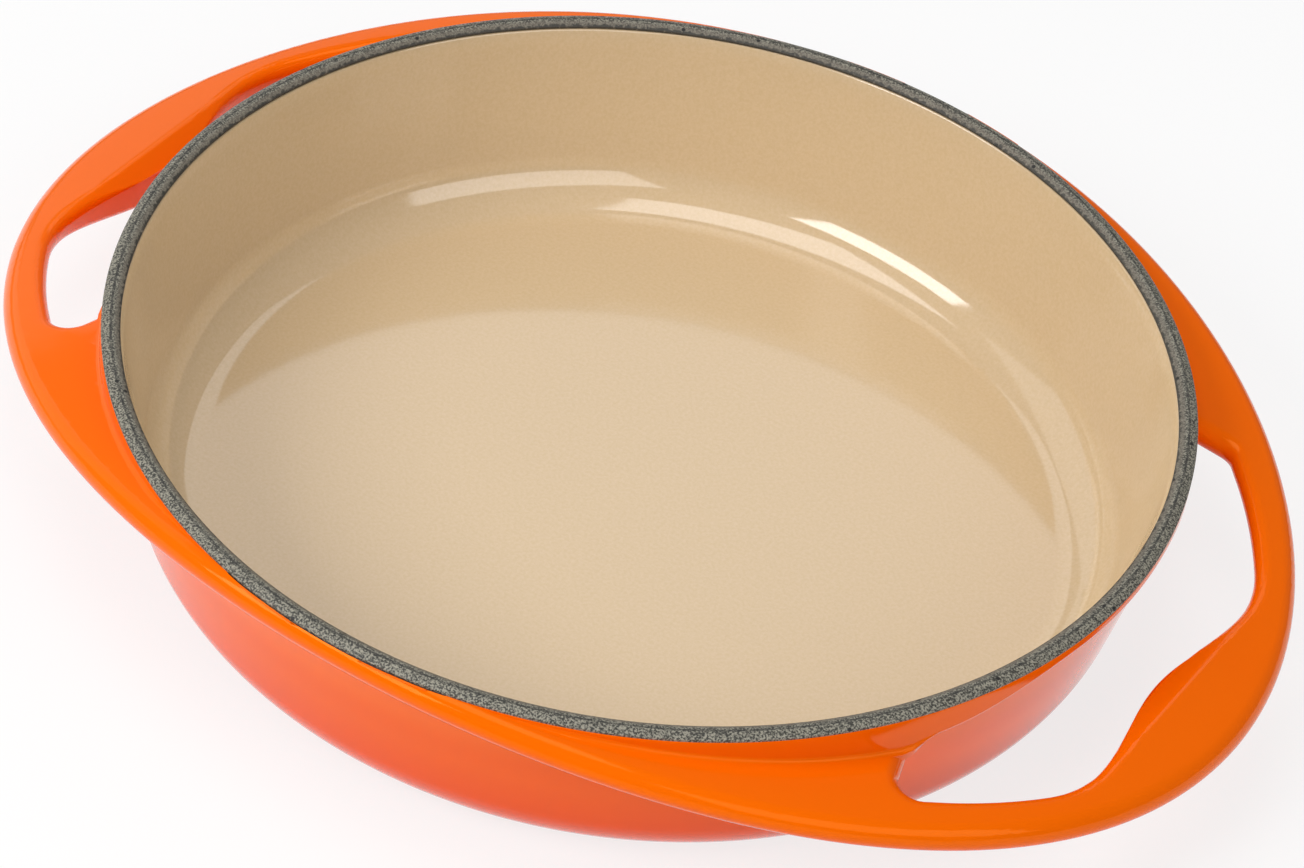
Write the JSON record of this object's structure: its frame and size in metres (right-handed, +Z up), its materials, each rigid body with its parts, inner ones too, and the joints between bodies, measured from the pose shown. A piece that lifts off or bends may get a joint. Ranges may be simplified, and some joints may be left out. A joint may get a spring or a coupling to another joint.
{
  "type": "tarte tatin dish",
  "caption": "Low round enamelled cast iron baking dish with a sloping loop handle on each side, orange outside and sand coloured inside.",
  "frame": {"origin": "centre of the flat base, on the surface that the dish stands on", "axes": "+X through both handles, +Z up along the bowl's axis, so that +Y is across the handles"},
  "size_m": [0.3272, 0.2622, 0.0526],
  "materials": {
    "cast_iron": "as cast, covered by the coats",
    "orange_enamel": "gloss vitreous enamel, orange that turns red towards the base",
    "base_enamel": "satin vitreous enamel",
    "sand_enamel": "gloss vitreous enamel, sand colour",
    "ground_coat": "matte grey ground coat with fine specks"
  },
  "bodies": {
    "root": {"cast_iron_body": "cast_iron", "exterior_enamel": "orange_enamel", "base_enamel": "base_enamel", "interior_enamel": "sand_enamel", "rim_ground_coat": "ground_coat"}
  },
  "joints": []
}
